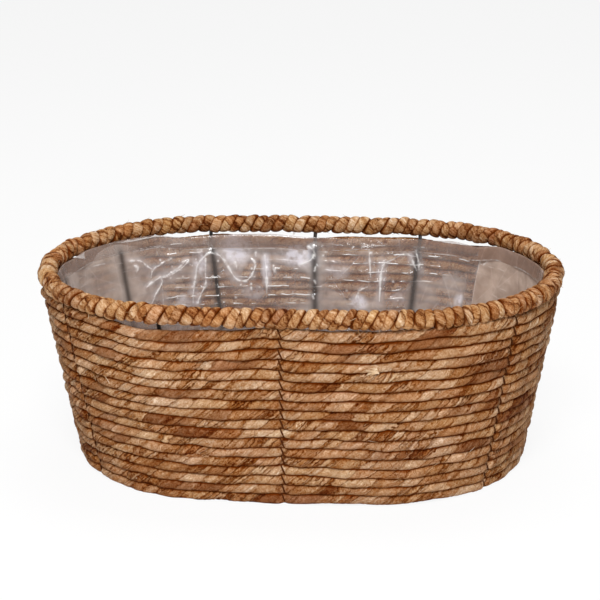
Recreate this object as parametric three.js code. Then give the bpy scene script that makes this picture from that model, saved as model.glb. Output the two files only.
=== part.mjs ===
// Oval planter basket: leaf rope wound course on course round a welded wire frame,
// sewn to the ribs with thread, with a rope-wrapped rim and a clear film liner.
// Millimetres, +Z up. The origin is on the floor, at the middle of the oval.
// X runs along the length, and the front, the long side that faces a viewer, is at -Y.

import * as THREE from "three";

// Overall plan, over the outside of the rim and over the outside of the lowest course
const RIM_LENGTH = 400;
const RIM_WIDTH = 262;
const RIM_SIDE_RADIUS = 1100; // how gently the long sides of the rim bow outwards
const BASE_LENGTH = 348;
const BASE_WIDTH = 234;
const BASE_SIDE_RADIUS = 1000;

// Rope wall and rope base
const ROPE_DIAMETER = 7.45;
const COURSES = 18;
const BASE_ROPE_GAP = 0.5; // least room between the loops of the base
const BASE_RISE = 1.2; // the sewn base hangs this far clear of the floor

// Wire frame
const RING_WIRE = 4;
const RIB_WIRE = 3;
const BASE_WIRE = 3;
const RIB_COUNT = 12;

// Rim
const RIM_GAP = 4.5; // open slot between the top course and the rim
const WRAP_THICKNESS = 4.4;
const WRAP_GAP = 0.6; // between turns, where the ends of the oval crowd them most
const WRAP_TURNS_PER_BAY = 8;

// Stitching
const THREAD_DIAMETER = 1;
const STITCH_SLANT = 3.5;

// Liner
const FILM_THICKNESS = 0.6;
const FILM_FOLD_GAP = 0.5;
const LINER_RISE = 1.5; // how far the film stands above the top course
const LINER_CORNER_RADIUS = 14;
const CUFF_HEIGHT = 11;

// Clearance between pieces that touch on the real basket
const SEAT = 0.3;

// Facets: how finely the round forms are cut
const ROPE_SIDES = 5;
const WIRE_SIDES = 8;
const RING_SIDES = 5;
const THREAD_SIDES = 3;
const WRAP_STEPS_PER_TURN = 6;
const RING_STEPS = 72;
const LINER_STEPS = 48;
// A quarter of the oval in seventy-seconds of the whole way round, close together at the round end
const QUARTER = 18;
const WALL_STEPS = [0, 6, 9, 12, 14, 16];
const BASE_STEPS = [0, 9, 12, 14, 16];
// The wall rope climbs a course between these two marks, at the back left
const CLIMB_START = 50;
const CLIMB_END = 52;
const MARKS = 4 * QUARTER;

const HALF_TURN = Math.PI;
const FULL_TURN = 2 * Math.PI;

const ropeRadius = ROPE_DIAMETER / 2;
const threadRadius = THREAD_DIAMETER / 2;
const ribRadius = RIB_WIRE / 2;
const baseWireRadius = BASE_WIRE / 2;
// A faceted rope lies on one of its flat sides, this far under its centre line, and so courses
// one rope apart stay clear of each other
const ropeFlat = ropeRadius * Math.cos(HALF_TURN / ROPE_SIDES);
const coursePitch = ROPE_DIAMETER;

// The wrap is a polygon round the ring wire: its corners stand off so that its flats clear the wire
const wrapFlatShare = Math.cos(HALF_TURN / WRAP_STEPS_PER_TURN);
const wrapInner = (RING_WIRE / 2 + SEAT) / wrapFlatShare;
const rimRadius = wrapInner + WRAP_THICKNESS;

// Heights
const firstCourseZ = ropeFlat;
const topCourseZ = firstCourseZ + (COURSES - 1) * coursePitch;
const wallTopZ = topCourseZ + ropeRadius;
const rimZ = wallTopZ + RIM_GAP + rimRadius;
const baseRopeZ = BASE_RISE + ropeFlat;
const baseWireZ = baseRopeZ + ropeRadius + SEAT + baseWireRadius;
const linerFloorZ = baseWireZ + baseWireRadius + SEAT;
const linerTopZ = wallTopZ + LINER_RISE;

// An oval of four arcs that meet without a kink: two long sides and two round ends
function oval(halfLength, halfWidth, sideRadius) {
  const endRadius =
    (2 * sideRadius * halfWidth - halfLength ** 2 - halfWidth ** 2) / (2 * (sideRadius - halfLength));
  const sideAngle = Math.atan2(halfLength - endRadius, sideRadius - halfWidth);
  return { halfLength, halfWidth, sideRadius, endRadius, sideAngle };
}

// The point where the oval's outward normal has this angle, counted anticlockwise from the front,
// moved inwards by inset
function ovalAt(o, angle, inset = 0) {
  const nx = Math.sin(angle);
  const ny = -Math.cos(angle);
  const onSide = Math.abs(ny) > Math.cos(o.sideAngle);
  const radius = (onSide ? o.sideRadius : o.endRadius) - inset;
  const cx = onSide ? 0 : Math.sign(nx) * (o.halfLength - o.endRadius);
  const cy = onSide ? -Math.sign(ny) * (o.sideRadius - o.halfWidth) : 0;
  return { x: cx + radius * nx, y: cy + radius * ny, nx, ny };
}

// A quarter of the way round: half a long side and half an end
const sideLengthOf = (o) => o.sideRadius * o.sideAngle;
const quarterLengthOf = (o) => sideLengthOf(o) + o.endRadius * (HALF_TURN / 2 - o.sideAngle);

// The normal's angle after a share of the way round the oval, from the front
function angleAtShare(o, share) {
  const sideLength = sideLengthOf(o);
  const quarterLength = quarterLengthOf(o);
  const quarters = share * 4;
  const turn = Math.floor(quarters / 2);
  const half = quarters - 2 * turn;
  const along = (half <= 1 ? half : 2 - half) * quarterLength;
  const angle =
    along < sideLength ? along / o.sideRadius : o.sideAngle + (along - sideLength) / o.endRadius;
  return turn * HALF_TURN + (half <= 1 ? angle : HALF_TURN - angle);
}

const rimOval = oval(RIM_LENGTH / 2 - rimRadius, RIM_WIDTH / 2 - rimRadius, RIM_SIDE_RADIUS);
const baseOval = oval(BASE_LENGTH / 2 - ropeRadius, BASE_WIDTH / 2 - ropeRadius, BASE_SIDE_RADIUS);

// The oval through the middle of the rope wall at a height: the top course lies right under the rim
function wallOval(z) {
  const rise = (z - firstCourseZ) / (topCourseZ - firstCourseZ);
  const between = (low, high) => low + (high - low) * rise;
  return oval(
    between(baseOval.halfLength, rimOval.halfLength),
    between(baseOval.halfWidth, rimOval.halfWidth),
    between(baseOval.sideRadius, rimOval.sideRadius),
  );
}

const markAngle = (mark) => angleAtShare(rimOval, mark / MARKS);
const ribAngle = (rib) => angleAtShare(rimOval, rib / RIB_COUNT);

// Every mark of one lap from the front, mirrored from the first quarter
function lapMarks(quarterSteps) {
  const [front, ...others] = quarterSteps;
  const mirrored = [...others].reverse().map((step) => 2 * QUARTER - step);
  const half = [front, ...others, QUARTER, ...mirrored];
  return [...half, ...half.map((mark) => mark + 2 * QUARTER)];
}

function geometryFrom(vertices, triangles) {
  const geometry = new THREE.BufferGeometry();
  geometry.setAttribute("position", new THREE.Float32BufferAttribute(vertices.flat(), 3));
  geometry.setIndex(triangles.flat());
  return geometry;
}

// Joins rings of corners, each the same length, into a tube: closed on itself, or with a cap at each end.
// Seen along the tube, a ring runs clockwise.
function loft(rings, closed) {
  const sides = rings[0].length;
  const triangles = [];
  const count = rings.length;
  for (let i = 0; i < (closed ? count : count - 1); i += 1) {
    const here = i * sides;
    const next = ((i + 1) % count) * sides;
    for (let s = 0; s < sides; s += 1) {
      const t = (s + 1) % sides;
      triangles.push([here + s, here + t, next + t], [here + s, next + t, next + s]);
    }
  }
  if (!closed) {
    const last = (count - 1) * sides;
    for (let s = 1; s < sides - 1; s += 1) {
      triangles.push([0, s + 1, s], [last, last + s, last + s + 1]);
    }
  }
  return geometryFrom(rings.flat(), triangles);
}

// A round section with a flat side down, in the plane of the outward normal and the upright
function uprightRing(point, z, radius, sides) {
  const ring = [];
  for (let s = 0; s < sides; s += 1) {
    const turn = -HALF_TURN / 2 + (FULL_TURN * (s + 0.5)) / sides;
    const out = radius * Math.cos(turn);
    ring.push([point.x + out * point.nx, point.y + out * point.ny, z + radius * Math.sin(turn)]);
  }
  return ring.reverse();
}

// A round section that lies level, for wire that stands up
function levelRing(point, z, radius, sides) {
  const ring = [];
  for (let s = 0; s < sides; s += 1) {
    const turn = (FULL_TURN * s) / sides;
    const out = radius * Math.cos(turn);
    const along = radius * Math.sin(turn);
    ring.push([point.x + out * point.nx - along * point.ny, point.y + out * point.ny + along * point.nx, z]);
  }
  return ring;
}

// The least distance between two stretches of a wound tube, on points along its corners,
// leaving out what is less than apart steps away along the tube itself
function leastGap(rings, apart) {
  const between = 3;
  const points = [];
  for (let i = 0; i + 1 < rings.length; i += 1) {
    for (let part = 0; part < between; part += 1) {
      const share = part / between;
      const spread = rings[i].map((a, s) => a.map((v, axis) => v + (rings[i + 1][s][axis] - v) * share));
      points.push({ step: i, spread });
    }
  }
  let least = Infinity;
  points.forEach((a, i) => {
    for (let j = i + 1; j < points.length; j += 1) {
      const b = points[j];
      if (b.step - a.step > apart) {
        a.spread.forEach(([x, y, z]) =>
          b.spread.forEach((q) => {
            least = Math.min(least, (x - q[0]) ** 2 + (y - q[1]) ** 2 + (z - q[2]) ** 2);
          }),
        );
      }
    }
  });
  return Math.sqrt(least);
}

// Wall rope: level courses that each climb to the next at the back left, in one unbroken length
function wallRopeRings() {
  const marks = lapMarks(WALL_STEPS);
  const rings = [];
  for (let lap = 0; lap <= COURSES; lap += 1) {
    marks.forEach((mark) => {
      const started = lap > 0 || mark >= CLIMB_END;
      const ended = lap === COURSES && mark > CLIMB_START;
      if (started && !ended) {
        const course = lap - 1 + (mark >= CLIMB_END ? 1 : 0);
        const z = firstCourseZ + course * coursePitch;
        rings.push(uprightRing(ovalAt(wallOval(z), markAngle(mark)), z, ropeRadius, ROPE_SIDES));
      }
    });
  }
  return rings;
}

// Base rope: an oval coil from a hairpin in the middle out to the wall. Each loop steps out to the next
// across the back, halfway at its middle, and the sides are straighter the nearer a loop is to the hairpin.
const baseLoops = Math.floor(baseOval.halfWidth / (ROPE_DIAMETER + BASE_ROPE_GAP) - 0.5);

function baseRopeRings() {
  const pitch = baseOval.halfWidth / (baseLoops + 0.5);
  const backMiddle = 2 * QUARTER;
  const marks = lapMarks(BASE_STEPS).map((mark) => (mark < backMiddle ? mark + MARKS : mark));
  marks.sort((a, b) => a - b);
  const rings = [];
  for (let loop = baseLoops; loop > 0; loop -= 1) {
    marks.forEach((mark) => {
      const steppingOut = mark === backMiddle;
      if (steppingOut && loop === baseLoops) return;
      const inwards = steppingOut ? loop + 0.5 : loop;
      const shape = oval(
        baseOval.halfLength - inwards * pitch,
        baseOval.halfWidth - inwards * pitch,
        baseOval.sideRadius / (1 - inwards / (baseLoops + 1)),
      );
      rings.push(uprightRing(ovalAt(shape, markAngle(mark % MARKS)), baseRopeZ, ropeRadius, ROPE_SIDES));
    });
  }
  return rings;
}

// Rim wrap: a flat-lying rope wound round the ring wire. A rib comes in from below and inside, and as the rope
// crosses over the top there, it moves on by the rib's own width, so that the turns part to let the rib in.
function rimWrapRings() {
  const turns = RIB_COUNT * WRAP_TURNS_PER_BAY;
  const overRib = HALF_TURN / 3;
  const crossing = 1 / 3; // of a turn, on each side of the rib
  const middle = wrapInner + WRAP_THICKNESS / 2;
  const bay = (4 * quarterLengthOf(rimOval)) / RIB_COUNT;
  const parting = RIB_WIRE + 2 * SEAT;
  const pitch = (bay - parting) / WRAP_TURNS_PER_BAY;
  const halfWidth = (pitch * (1 - middle / rimOval.endRadius) - WRAP_GAP) / 2;
  const rings = [];
  for (let step = 0; step < turns * WRAP_STEPS_PER_TURN; step += 1) {
    const turn = step / WRAP_STEPS_PER_TURN;
    const rib = Math.floor(turn / WRAP_TURNS_PER_BAY);
    const sinceRib = turn - rib * WRAP_TURNS_PER_BAY;
    const beforeRib = WRAP_TURNS_PER_BAY - sinceRib;
    const moved = Math.min(sinceRib / crossing, 1) - Math.min(beforeRib / crossing, 1) + 1;
    const along = (sinceRib * pitch + (moved * parting) / 2) / bay;
    const p = ovalAt(rimOval, angleAtShare(rimOval, (rib + along) / RIB_COUNT));
    const around = overRib + FULL_TURN * turn;
    const corner = (radius, side) => [
      p.x + radius * Math.cos(around) * p.nx - side * p.ny,
      p.y + radius * Math.cos(around) * p.ny + side * p.nx,
      rimZ + radius * Math.sin(around),
    ];
    rings.push([
      corner(wrapInner, 0),
      corner(middle, -halfWidth),
      corner(rimRadius, 0),
      corner(middle, halfWidth),
    ]);
  }
  return rings;
}

const baseRingInset = ropeRadius + SEAT + baseWireRadius;

// Rib: straight up inside the wall from the base ring, then out over the top course to the ring wire
const ribInset = ropeRadius + SEAT + ribRadius;
const ringUnderZ = rimZ - RING_WIRE / 2 - SEAT;

function ribRings(rib) {
  const angle = ribAngle(rib);
  const at = (z, inset) => levelRing(ovalAt(wallOval(z), angle, inset), z, ribRadius, WIRE_SIDES);
  const footZ = baseWireZ + baseWireRadius + SEAT;
  return [
    at(footZ, ribInset),
    at(wallTopZ - ropeRadius, ribInset),
    at(wallTopZ + ribRadius, ribInset - ribRadius / 2),
    levelRing(ovalAt(rimOval, angle), ringUnderZ, ribRadius, WIRE_SIDES),
  ];
}

// Stitch: one thread down a rib, slanting over each course and stepping back in the groove below it
function stitchRings(rib) {
  const angle = ribAngle(rib);
  const reach = ropeRadius + SEAT + threadRadius;
  const crestTurn = HALF_TURN / 8;
  const centre = (course) => {
    const z = firstCourseZ + course * coursePitch;
    const p = ovalAt(wallOval(z), angle);
    return { ...p, z };
  };
  const stops = [];
  for (let course = COURSES - 1; course >= 0; course -= 1) {
    const here = centre(course);
    const above = centre(course + 1);
    const lean = (above.x - here.x) * here.nx + (above.y - here.y) * here.ny;
    const apart = Math.hypot(lean, coursePitch);
    const grooveTurn = Math.asin(apart / 2 / reach);
    const tilt = Math.atan2(lean, coursePitch);
    const turns = [grooveTurn, crestTurn, -crestTurn];
    if (course > 0) turns.push(-grooveTurn); // under the lowest course it would meet the floor
    turns.forEach((turn, i) => {
      const along = STITCH_SLANT * (i / 3 - 0.5);
      const out = reach * Math.cos(turn - tilt);
      const z = here.z + reach * Math.sin(turn - tilt);
      stops.push({ here, along, out, z, turn: turn - tilt });
    });
  }
  return stops.map(({ here, along, out, z, turn }) => {
    const ring = [];
    for (let s = 0; s < THREAD_SIDES; s += 1) {
      const around = (FULL_TURN * s) / THREAD_SIDES;
      const lift = threadRadius * Math.cos(around);
      const side = along + threadRadius * Math.sin(around);
      const far = out + lift * Math.cos(turn);
      ring.push([
        here.x + far * here.nx - side * here.ny,
        here.y + far * here.ny + side * here.nx,
        z + lift * Math.sin(turn),
      ]);
    }
    return ring.reverse();
  });
}

// Base wire: from the front of the base ring to the back, in line with a rib. Its square-cut ends stop short
// of the ring by more where the ring runs at a slant to it.
function baseWireRings(rib) {
  const angle = ribAngle(rib);
  const ring = ovalAt(wallOval(baseWireZ), angle, baseRingInset);
  const slant = Math.abs(Math.cos(angle));
  const short = (baseWireRadius + 2 * SEAT + baseWireRadius * Math.abs(Math.sin(angle))) / slant;
  const end = Math.abs(ring.y) - short;
  return [-end, end].map((y) => {
    const section = [];
    for (let s = 0; s < WIRE_SIDES; s += 1) {
      const turn = (FULL_TURN * s) / WIRE_SIDES;
      section.push([ring.x + baseWireRadius * Math.cos(turn), y, baseWireZ + baseWireRadius * Math.sin(turn)]);
    }
    return section.reverse();
  });
}

// Liner: an oval bag of film inside the ribs, with its top edge folded inwards into a cuff
function linerGeometry() {
  const outerInset = ropeRadius + RIB_WIRE + 2 * SEAT;
  const cornerSteps = 2;
  const profile = [];
  const inside = outerInset + FILM_THICKNESS;
  const corner = (radius, inset, floor) => {
    for (let step = 0; step <= cornerSteps; step += 1) {
      const turn = (HALF_TURN / 2) * (step / cornerSteps);
      profile.push([inset + radius * (1 - Math.sin(turn)), floor + radius * (1 - Math.cos(turn))]);
    }
  };
  corner(LINER_CORNER_RADIUS, outerInset, linerFloorZ);
  const cuffOuter = inside + FILM_FOLD_GAP;
  const cuffInner = cuffOuter + FILM_THICKNESS;
  profile.push([outerInset, linerTopZ], [cuffInner, linerTopZ], [cuffInner, linerTopZ - CUFF_HEIGHT]);
  profile.push([cuffOuter, linerTopZ - CUFF_HEIGHT], [cuffOuter, linerTopZ - FILM_THICKNESS]);
  profile.push([inside, linerTopZ - FILM_THICKNESS]);
  const up = profile.length;
  corner(LINER_CORNER_RADIUS - FILM_THICKNESS, inside, linerFloorZ + FILM_THICKNESS);
  profile.push(...profile.splice(up).reverse());

  const rows = profile.map(([inset, z]) => {
    const row = [];
    for (let step = 0; step < LINER_STEPS; step += 1) {
      const p = ovalAt(wallOval(z), angleAtShare(rimOval, step / LINER_STEPS), inset);
      row.push([p.x, p.y, z]);
    }
    return row;
  });
  const vertices = rows.flat();
  const floorUnder = vertices.push([0, 0, linerFloorZ]) - 1;
  const floorOver = vertices.push([0, 0, linerFloorZ + FILM_THICKNESS]) - 1;
  const triangles = [];
  const lastRow = (rows.length - 1) * LINER_STEPS;
  for (let s = 0; s < LINER_STEPS; s += 1) {
    const t = (s + 1) % LINER_STEPS;
    for (let row = 0; row < lastRow; row += LINER_STEPS) {
      const next = row + LINER_STEPS;
      triangles.push([row + s, row + t, next + t], [row + s, next + t, next + s]);
    }
    triangles.push([floorUnder, t, s], [floorOver, lastRow + s, lastRow + t]);
  }
  return geometryFrom(vertices, triangles);
}

// Materials
const leafRope = new THREE.MeshStandardMaterial({ color: 0xb58453, roughness: 0.8, metalness: 0 });
const rimRope = new THREE.MeshStandardMaterial({ color: 0xb37d42, roughness: 0.75, metalness: 0 });
const blackWire = new THREE.MeshStandardMaterial({ color: 0x1d1b1a, roughness: 0.45, metalness: 0.6 });
const darkThread = new THREE.MeshStandardMaterial({ color: 0x33200f, roughness: 0.7, metalness: 0 });
const clearFilm = new THREE.MeshStandardMaterial({
  color: 0xd6d0cd,
  roughness: 0.15,
  metalness: 0,
  transparent: true,
  opacity: 0.3,
});

// Ribs, anticlockwise from the middle of the front. The four on the flat sides carry no stitching,
// and the five pairs that face each other front to back are joined under the liner by a base wire.
const RIBS = [
  { place: "front_centre", sewn: true, baseWire: "centre" },
  { place: "front_right", sewn: false, baseWire: "right" },
  { place: "front_right_corner", sewn: true, baseWire: "far_right" },
  { place: "right_end", sewn: true },
  { place: "back_right_corner", sewn: true },
  { place: "back_right", sewn: false },
  { place: "back_centre", sewn: true },
  { place: "back_left", sewn: false },
  { place: "back_left_corner", sewn: true },
  { place: "left_end", sewn: true },
  { place: "front_left_corner", sewn: true, baseWire: "far_left" },
  { place: "front_left", sewn: false, baseWire: "left" },
];

const basket = new THREE.Group();

function add(name, geometry, material) {
  geometry.computeVertexNormals();
  const mesh = new THREE.Mesh(geometry, material);
  mesh.name = name;
  basket.add(mesh);
}

// Ropes
const wallRope = wallRopeRings();
add("wall_rope", loft(wallRope, false), leafRope);
const baseRope = baseRopeRings();
add("base_rope", loft(baseRope, false), leafRope);

const rimWrap = rimWrapRings();
add("rim_wrap", loft(rimWrap, false), rimRope);

// Wire frame
function wireLoop(shape, z, inset, radius, angles) {
  return loft(
    angles.map((angle) => uprightRing(ovalAt(shape, angle, inset), z, radius, RING_SIDES)),
    true,
  );
}
const ringAngles = Array.from({ length: RING_STEPS }, (_, i) => angleAtShare(rimOval, i / RING_STEPS));
add("top_ring_wire", wireLoop(rimOval, rimZ, 0, RING_WIRE / 2, ringAngles), blackWire);
const baseAngles = lapMarks(WALL_STEPS).map(markAngle);
const baseRing = wireLoop(wallOval(baseWireZ), baseWireZ, baseRingInset, baseWireRadius, baseAngles);
add("base_ring_wire", baseRing, blackWire);
RIBS.forEach(({ place, sewn, baseWire }, rib) => {
  add(`rib_${place}`, loft(ribRings(rib), false), blackWire);
  if (sewn) add(`stitch_${place}`, loft(stitchRings(rib), false), darkThread);
  if (baseWire) add(`base_wire_${baseWire}`, loft(baseWireRings(rib), false), blackWire);
});

add("liner", linerGeometry(), clearFilm);

const gapOf = (rings, stepsPerLoop) => leastGap(rings, stepsPerLoop / 2).toFixed(2);
console.log(`wall_rope: least gap to itself ${gapOf(wallRope, lapMarks(WALL_STEPS).length)} mm`);
console.log(`base_rope: least gap to itself ${gapOf(baseRope, lapMarks(BASE_STEPS).length)} mm`);
console.log(`rim_wrap: least gap to itself ${gapOf(rimWrap, WRAP_STEPS_PER_TURN)} mm`);

export default basket;
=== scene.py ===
"""Looks of an oval planter basket: twisted leaf rope wound on a wire frame, sewn with dark thread,
with a rope-wrapped rim and a crumpled clear film liner.

Lengths are millimetres until a mesh is made, and Blender's own values are metres. A share is a part of
the way round the rim, anticlockwise from the front.
"""

import math
from collections import namedtuple

import bpy
import numpy as np
from mathutils import Matrix, Vector


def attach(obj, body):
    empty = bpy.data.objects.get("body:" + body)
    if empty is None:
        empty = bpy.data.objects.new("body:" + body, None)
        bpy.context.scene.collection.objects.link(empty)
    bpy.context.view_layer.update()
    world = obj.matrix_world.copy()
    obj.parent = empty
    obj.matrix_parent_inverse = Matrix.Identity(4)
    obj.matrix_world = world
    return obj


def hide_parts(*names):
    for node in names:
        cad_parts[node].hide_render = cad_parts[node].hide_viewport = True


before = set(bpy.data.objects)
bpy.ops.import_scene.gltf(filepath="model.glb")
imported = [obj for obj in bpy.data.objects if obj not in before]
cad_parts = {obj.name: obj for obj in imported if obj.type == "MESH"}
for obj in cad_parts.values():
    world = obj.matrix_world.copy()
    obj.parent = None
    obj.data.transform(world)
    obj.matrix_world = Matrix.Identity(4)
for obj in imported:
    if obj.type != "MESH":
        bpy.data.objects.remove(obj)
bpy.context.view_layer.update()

MM = 0.001
TURN = 2 * math.pi
UPRIGHT = np.array([0.0, 0.0, 1.0])
TINY = 1e-6

# Plan and heights, as in the solid model
RIM_HALF_LENGTH = 192.944
RIM_HALF_WIDTH = 123.944
RIM_SIDE_RADIUS = 1100
BASE_HALF_LENGTH = 170.275
BASE_HALF_WIDTH = 113.275
BASE_SIDE_RADIUS = 1000
COURSES = 18
FIRST_COURSE_Z = 3.014
TOP_COURSE_Z = 129.66
BASE_ROPE_Z = 4.214
RIM_Z = 144.944
LINER_FLOOR_Z = 11.54
LINER_TOP_Z = 134.9
RIB_COUNT = 12
RIB_RADIUS = 1.5
RIB_INSET = 5.525
BASE_LOOPS = 13
MARKS = 72  # a course climbs to the next between two of these marks round the basket
CLIMB_START = 50
CLIMB_END = 52

RIB_PLACES = (
    "front_centre", "front_right", "front_right_corner", "right_end", "back_right_corner", "back_right",
    "back_centre", "back_left", "back_left_corner", "left_end", "front_left_corner", "front_left",
)
PLAIN_RIBS = ("front_right", "back_right", "back_left", "front_left")

# Rope of the wall and the base
ROPE_HALF_DEPTH = 3.62
ROPE_OVERLAP = 0.36  # courses press into each other by this much
ROPE_STEP = 1.4
ROPE_SIDES = 16
TAPER_LENGTH = 30  # at the two ends of a rope
TAPER_LEFT = 0.3
START_TUCK = 0.75  # the start reaches this far back under the first climb
FREE_RISE = 0.6  # nothing lies on the rope from this last part of its climb on
PINCH_DEPTH = 1.7  # a stitch draws the rope in by this much,
PINCH_THIN = 0.24  # makes it thinner by this share,
PINCH_REACH = 2.4  # and is felt this far along it
CROWDING = 4.0  # the top course is pushed up against the rim by this much,
CROWDING_BACK = 0.5  # by this much across the back,
CROWDING_LOST = 1.1  # and this share of it is lost at front left
GAP_BACK = (0.38, 0.605, 0.03)  # start, end and soft sides
GAP_FRONT = (0.905, 0.96, 0.03)
FOOT_LIFT = 0.6  # the lowest course is off the floor by about this much here and there
FOOT_COURSES = 3  # above these the courses stray freely
BASE_ROPE_STEP = 2.5
BASE_ROPE_SIDES = 12
BASE_LOOP_LENGTH = 620  # of a middling loop
BASE_HAIRPIN = 0.22  # the first leg of the hairpin, as a share of a loop
BASE_END = 0.02  # the last loop stops short by this share
BASE_STEP_LENGTH = 40  # a loop steps out over this length

# Leaf strips of every rope
CRINKLE_LENGTH = 110  # crinkled and smooth stretches are about this long
CRINKLE_OVER = 0.55
CRINKLE_GAIN = 0.6  # crinkled strips have this much more relief
STRIP_STRAYS = ((5, 9, 1.0), (-6, 5, 0.5))  # change round the rope, wavelength and share
STRIP_PROUD = (0.4, 1.5)
STRIP_SINK = 0.7
PLUMP_SHARE = 0.6  # the rest of a strip's relief is one edge lapped over the next strip
PLUMP_POWER = 2.4
LAP_EDGE = 0.2
LAP_FALL = 0.8
RELIEF_UP = 0.4  # share of the relief on the sides that lie against the next rope

# Rim wrap
WRAP_TURNS = 134
WRAP_STEPS = 32
WRAP_SIDES = 18
WRAP_MIDDLE = 4.2
WRAP_OVERLAP = 1.2  # a turn's width over its share of the rim
WRAP_HALF_THICKNESS = 2.95
WRAP_SWELL = 0.06  # a turn is thicker by this share
WRAP_SWELL_AT = 0.9  # this far before its outermost place, in radians
WRAP_FROM = 0.3
WRAP_START = 0.6  # the strand starts this part of a turn round the wire
WRAP_CLOSEST = 0.17  # the turns are closest at this share of the way round
WRAP_CROWDING = 25
WRAP_SKEW = 2.1  # the turns lean more on the outside of the rim, by this much each way,
WRAP_BACK = (0.1, 0.72, 0.05)  # and from here to here
WRAP_BACK_TURN = 0.7  # by this many times as much the other way

# Thread
THREAD_RADIUS = 0.65
THREAD_SIDES = 8
THREAD_OUT = 0.7 * THREAD_RADIUS  # its middle stands off the rope by this much outside
THREAD_UP = 0.2 * THREAD_RADIUS  # and by this much in the grooves,
GROOVE_HEIGHT = 0.9  # which are at this share of the rope's half height
RIB_HOLD = RIB_RADIUS + 0.9 * THREAD_RADIUS
STITCH_SLANT = 5.0
OVER_COURSE = math.radians(85)  # a stitch goes over a course from this far up to this far down
OVER_STOPS = 9
BEHIND_STOPS = 7

# Loose leaf
Fibres = namedtuple("Fibres", "count length lift curl radius")
WALL_FIBRES = Fibres(90, length=(4, 11), lift=(0.3, 2.0), curl=(-1.5, 1.5), radius=(0.18, 0.36))
RIM_FIBRES = Fibres(110, length=(3, 8), lift=(0.5, 2.2), curl=(-1, 1), radius=(0.18, 0.34))
FRAY_FIBRES = Fibres(14, length=(3, 7), lift=(0.8, 2.2), curl=(-1, 1), radius=(0.55, 0.95))
FIBRE_STOPS = 9
FIBRE_SIDES = 4
FIBRE_TIP = 0.25
WALL_ROOT = 0.97  # a fibre starts at this share of the way to the rope's outside
WALL_ROOT_TURN = 0.9  # and up to this far up or down round it, in radians
WALL_LEAN = 0.6
RIM_ROOT = 0.95
FRAY_COURSE = 13.75
FRAY_SHARE = 0.064
FRAY_SPREAD = ((-0.25, 0.3), (0, 3.5))  # in courses and in millimetres along the rope
FRAY_RISE = (-0.7, 0.3)
FRAY_PALE = 6  # the frayed end is as pale as a fibre this far from its root
TAIL_SHARES = (0.912, 0.957)
TAIL_STEPS = 40
TAIL_COURSE = 4.5
TAIL_STAND = 1.1
TAIL_HALF_DEPTH = 2.6
TAIL_HALF_HEIGHT = 2.7
TAIL_SWELL = (0.15, 3.0)  # its height follows a sine between these angles

# Liner
FILM_INSET = 8.4
CUFF_HEIGHT = 11
CUFF_STAND = 1.5
CUFF_SOFT = 0.8  # the edge of the cuff is this soft to the eye
FOLD_RADIUS = 0.8
FILM_CORNER = 14
FILM_BACK_COLUMNS = 900
FILM_FRONT_COLUMNS = 260
CUFF_ROWS = 10
FOLD_STOPS = 5
FILM_UPPER_ROWS = 110
FILM_LOWER_ROWS = 24
CORNER_STOPS = 14
FILM_FLOOR_ROWS = 40
FLOOR_LEFT = 0.01  # the floor ends at this share of its size
FILM_UPPER_DEPTH = 66  # the part of the wall that shows over the front rim
FILM_BACK = (0.27, 0.73)  # the part of the way round that shows
FILM_END_RISE = 6.3  # the film stands higher at the two ends, up to the rim,
FILM_BACK_RISE = 1.9  # than across the back
FILM_LOW_BACK = (0.37, 0.6, 0.035)
FILM_LOW_FRONT = (0.36, 0.64, 0.06)  # half the way round further on
FILM_ON_ROPE = (0.37, 0.615, 0.03)  # where it lies on the rope
FILM_SETTLES = 12  # and from this far down
TOUCH_LEAST = 0.15  # elsewhere it touches by this much
TOUCH_PATCHES = (-1.2, 0.7)
PATCH_SLANTS = (0.4, -0.2)
FILM_SLACK = 0.8  # it bellies out this much between ribs
FILM_LEAST = (0.12, 3.4)  # it can go outwards this much, over a rib and between ribs
RIB_REACH = 5
RIB_BLUR = 4.6  # a rib shows through the film as a soft dark band this wide each way, painted as its shadow and blurred look,
RIB_IN_CUFF = 0.4  # this strong through the cuff
RIPPLE = 0.42  # where it lies on the rope
CRUMPLE_ROUND = 0.12  # tips of dents are rounded over this share of their spacing
DENTS = ((0.14, 0.7, 51, 58), (-0.15, 0.8, 52, 27), (0.05, 0.7, 53, 12))  # steepness, squash, seed, spacing
FLOOR_DENTS = ((0.1, 1, 59, 34), (-0.08, 1, 60, 20))
EDGE_DENTS = 0.2  # share of the dents at the top edge
END_DENTS = 0.35  # and away from the back
BEND_HAZE = 0.4  # the film is cloudy where a dent bends it, partly its own whitening and partly a painted highlight,
BEND_FULL = 0.2  # most of all from this bend on
CREASE_UNEVEN = 0.38
CREASE_LIMITS = (0.45, 1.9)
CREASE_SEED = 80
# A painted glow of haze round the white creases: how cloudy, and its half width
CREASE_HAZE = 0.36
GLOW_HALF_WIDTH = 4.5
RIDGE_HALF_WIDTH = 2.0
RIDGE_HEIGHT = 0.6
# Painted highlights: glints scattered on the film, and a white line along the cuff's edge
GLINTS = 34
GLINT_SHARES = (0.4, 0.64)
GLINT_DROPS = (7, 58)
GLINT_WHITE = (0.5, 1)
GLINT_SIZES = (0.5, 1.1)
CUFF_EDGE_GLINT = 0.7
CUFF_EDGE_PATCHES = (-1.5, 0.3)
HAZE_EDGE = (0.3, 1.2)
HAZE_LIFTS = 0.8  # cloudy film lies off the rope
RIGHT_PANEL = (0.24, 0.361, 0.001)  # milky film
LEFT_PANEL = (0.66, 0.76, 0.03)
LEFT_PANEL_SHARE = 0.45
PANEL_HIDES = 0.9  # this share of a rib's painted shadow
FLOOR_CLEARER = 0.4
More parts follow.
